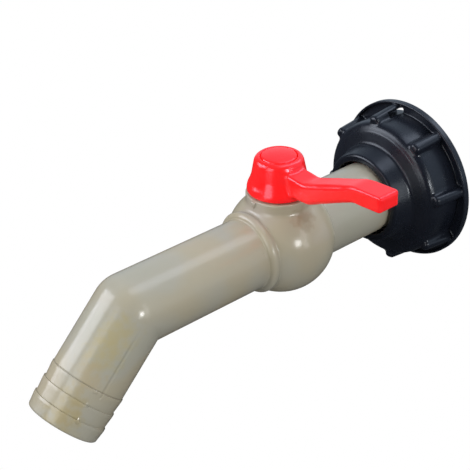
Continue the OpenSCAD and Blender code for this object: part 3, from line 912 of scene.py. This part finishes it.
# Thread: bore, helical ridge and the bevel at its mouth
THREAD_START = 73.85
THREAD_R = 30.3
MOUTH_BEVEL = 1.0
MOUTH_DEPTH = 1.2
MOUTH_SLANT = 0.7
CREST_R = 27.8
CREST_EDGE = 0.6
THREAD_PITCH = 6.0
RIDGE_SPAN = (76.0, 85.6)
RIDGE_RUN_OUT = 1.3
RIDGE_SINK = 2.5
FLANK_HALF_W = 0.95
FLANK_LEAN = 0.45
FLANK_SLANT = 0.9
RIDGE_LAP = 0.5
RIDGE_FILLET = 0.4
# Lugs: eight round the wall, the first one turned up a little from the near side
LUG_TURN = math.radians(10.5)
LUG_STEP = math.radians(45)
LUG_FRONT = 66.8
LUG_NOSE_LEAN = 0.5
LUG_NOSE_H = 1.2
LUG_HALF_W = 2.9
LUG_TAPER = 0.13
LUG_TOP = [(66.8, 37.8), (84.3, 39.6)]
LUG_EDGE = 1.9
LUG_ROOT = 3.0
LUG_END = 0.3
LUG_FILLET = 2.0
# Rim: a lip that stands on the lugs, and the floor behind it
RIM_FRONT = 82.5
RIM_BACK = 85.7
RIM_R = 40.8
RIM_T = 1.3
RIM_EDGE = 0.45
RIM_FLOOR = 1.4
RIM_FLOOR_INSET = 0.6
RIM_ROOT = 1.0
RIM_FLOOR_FILLET = 0.7
RIM_FILLET = 0.9
# Tether's slot beside one lug: corners as distance along, across the lug and outwards
TETHER_LUG = 2
TETHER_LOW = (75.6, -3.7, 34.9)
TETHER_HIGH = (86.5, 2.0, 37.3)
TETHER_EDGE = 0.4
# Grid of the nut: distance along, angle and radius
NUT_GRID = ((NUT_FRONT - 0.7, -math.pi, HOLE_R - 0.8), (NUT_END + 0.8, math.pi, RIM_R + 0.7))
NUT_STEPS = (0.5, 2 * math.pi / 320, 0.5)
ANGLE_AXIS = 1


def lean_plane(along, r, spot, lean):
    """Distance in front of a cone's face through a spot, leaning back as the radius grows."""
    return (spot[0] + lean * (r - spot[1]) - along) / math.hypot(1, lean)


def nut_drum(along, r):
    """Distance to the collar, the leaning web with its shoulder, and the wall."""
    collar = (r - FRONT_R - COLLAR_LEAN * (along - NUT_FRONT)) / math.hypot(1, COLLAR_LEAN)
    collar = blend_max(collar, NUT_FRONT - along, FRONT_EDGE)
    collar = np.maximum(collar, along - WEB_IN)
    web = lean_plane(along, r, WEB_FOOT, WEB_LEAN)
    face = blend_max(web, lean_plane(along, r, SHOULDER, SHOULDER_LEAN), SHOULDER_EDGE)
    wall = blend_max(face, r - WALL_R, WALL_EDGE)
    wall = blend_max(wall, along - NUT_END, NUT_END_EDGE)
    return blend_min(collar, wall, COLLAR_FILLET)


def nut_hollow(along, r):
    """Distance to the room inside: the tube's hole, the flange's relief, the bore and its bevel."""
    hole = np.maximum(r - HOLE_R, along - WEB_IN - HOLE_LAP)
    relief = np.maximum(r - RELIEF_R, np.maximum(WEB_IN - along, along - THREAD_START))
    bore = np.maximum(r - THREAD_R, WEB_IN - along)
    bevel = (r - THREAD_R - (along - NUT_END + MOUTH_BEVEL)) * MOUTH_SLANT
    mouth = np.maximum(bevel, NUT_END - MOUTH_DEPTH - along)
    return np.minimum(np.minimum(hole, relief), np.minimum(bore, mouth))


def thread_ridge(along, r, angle):
    """Distance to the nearest lap of the thread's ridge, which sinks into the bore past its span."""
    turn = angle / (2 * math.pi)
    lap = np.round((along - RIDGE_SPAN[0]) / THREAD_PITCH - turn)
    middle = RIDGE_SPAN[0] + THREAD_PITCH * (turn + lap)
    past = np.maximum(RIDGE_SPAN[0] - middle, middle - RIDGE_SPAN[1])
    crest = CREST_R + np.clip(past, 0, RIDGE_RUN_OUT) * RIDGE_SINK
    flank = (np.abs(along - middle) - FLANK_HALF_W - FLANK_LEAN * (r - CREST_R)) * FLANK_SLANT
    return np.maximum(blend_max(flank, crest - r, CREST_EDGE), r - THREAD_R - RIDGE_LAP)


def nut_lug(along, across, height):
    """Distance to a lug, from places along it, across it and out from the axis."""
    top = np.interp(along, *np.array(LUG_TOP).transpose())
    half = LUG_HALF_W - LUG_TAPER * (height - WALL_R)
    front = LUG_FRONT + LUG_NOSE_LEAN * np.maximum(WALL_R + LUG_NOSE_H - height, 0)
    lug = rounded_box((np.abs(across) - half, height - top, front - along), LUG_EDGE)
    return np.maximum(lug, np.maximum(along - RIM_BACK + LUG_END, WALL_R - LUG_ROOT - height))


def nut_rim(along, r):
    """Distance to the rim's lip and the floor that ties it to the wall."""
    lip = (RIM_FRONT - along, along - RIM_BACK, r - RIM_R, RIM_R - RIM_T - r)
    floor = (
        RIM_BACK - RIM_FLOOR - along, along - RIM_BACK,
        r - RIM_R + RIM_FLOOR_INSET, WALL_R - RIM_ROOT - r,
    )
    return blend_min(rounded_box(lip, RIM_EDGE), rounded_box(floor, RIM_EDGE), RIM_FLOOR_FILLET)


def nut_field(points):
    """Distance to the nut: drum, lugs and rim, less the hollow, with the ridge and the slot."""
    along, y, z = points.transpose()
    r = np.hypot(y, z)
    angle = np.arctan2(z, -y)
    folded = (angle - LUG_TURN + LUG_STEP / 2) % LUG_STEP - LUG_STEP / 2
    solid = nut_drum(along, r)
    solid = blend_min(solid, nut_lug(along, r * np.sin(folded), r * np.cos(folded)), LUG_FILLET)
    solid = blend_min(solid, nut_rim(along, r), RIM_FILLET)
    solid = blend_max(solid, -nut_hollow(along, r), HOLLOW_EDGE)
    solid = blend_min(solid, thread_ridge(along, r, np.arctan2(z, y)), RIDGE_FILLET)
    turned = angle - LUG_TURN - TETHER_LUG * LUG_STEP
    spots = np.stack((along, r * np.sin(turned), r * np.cos(turned)), 1)
    return blend_max(solid, -box_distance(spots, TETHER_LOW, TETHER_HIGH), TETHER_EDGE)


def add_nut(material):
    skin = skin_of(nut_field, *NUT_GRID, NUT_STEPS, about_tube, ANGLE_AXIS)
    points = skin[0]
    points[:, 0] = np.minimum(points[:, 0], NUT_END)
    obj = add_skin("nut_skin", skin, material)
    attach(obj, "nut")
    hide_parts("coupling_nut")


# Material of each CAD node, also of those that a skin replaces
CAD_FINISH = {
    "valve_body": "tap", "inlet_tube": "tap", "outlet_spout": "tap",
    "ball": "ball", "inlet_seat": "seat", "outlet_seat": "seat",
    "inlet_seat_oring": "rubber", "outlet_seat_oring": "rubber",
    "stem": "steel", "thrust_washer": "seat",
    "stem_oring_lower": "rubber", "stem_oring_upper": "rubber",
    "handle": "handle", "handle_washer": "steel", "handle_screw": "steel", "handle_cap": "handle",
    "coupling_nut": "nut", "face_gasket": "rubber",
}

make_camera()
make_world()
make_floor()
make_lamps()
materials = make_materials()
for node, finish in CAD_FINISH.items():
    set_material(nodes[node], materials[finish])
add_body(materials["tap"])
add_handle(materials["handle"])
add_cap(materials["handle"])
add_nut(materials["nut"])

bpy.context.scene.view_settings.view_transform = "Standard"
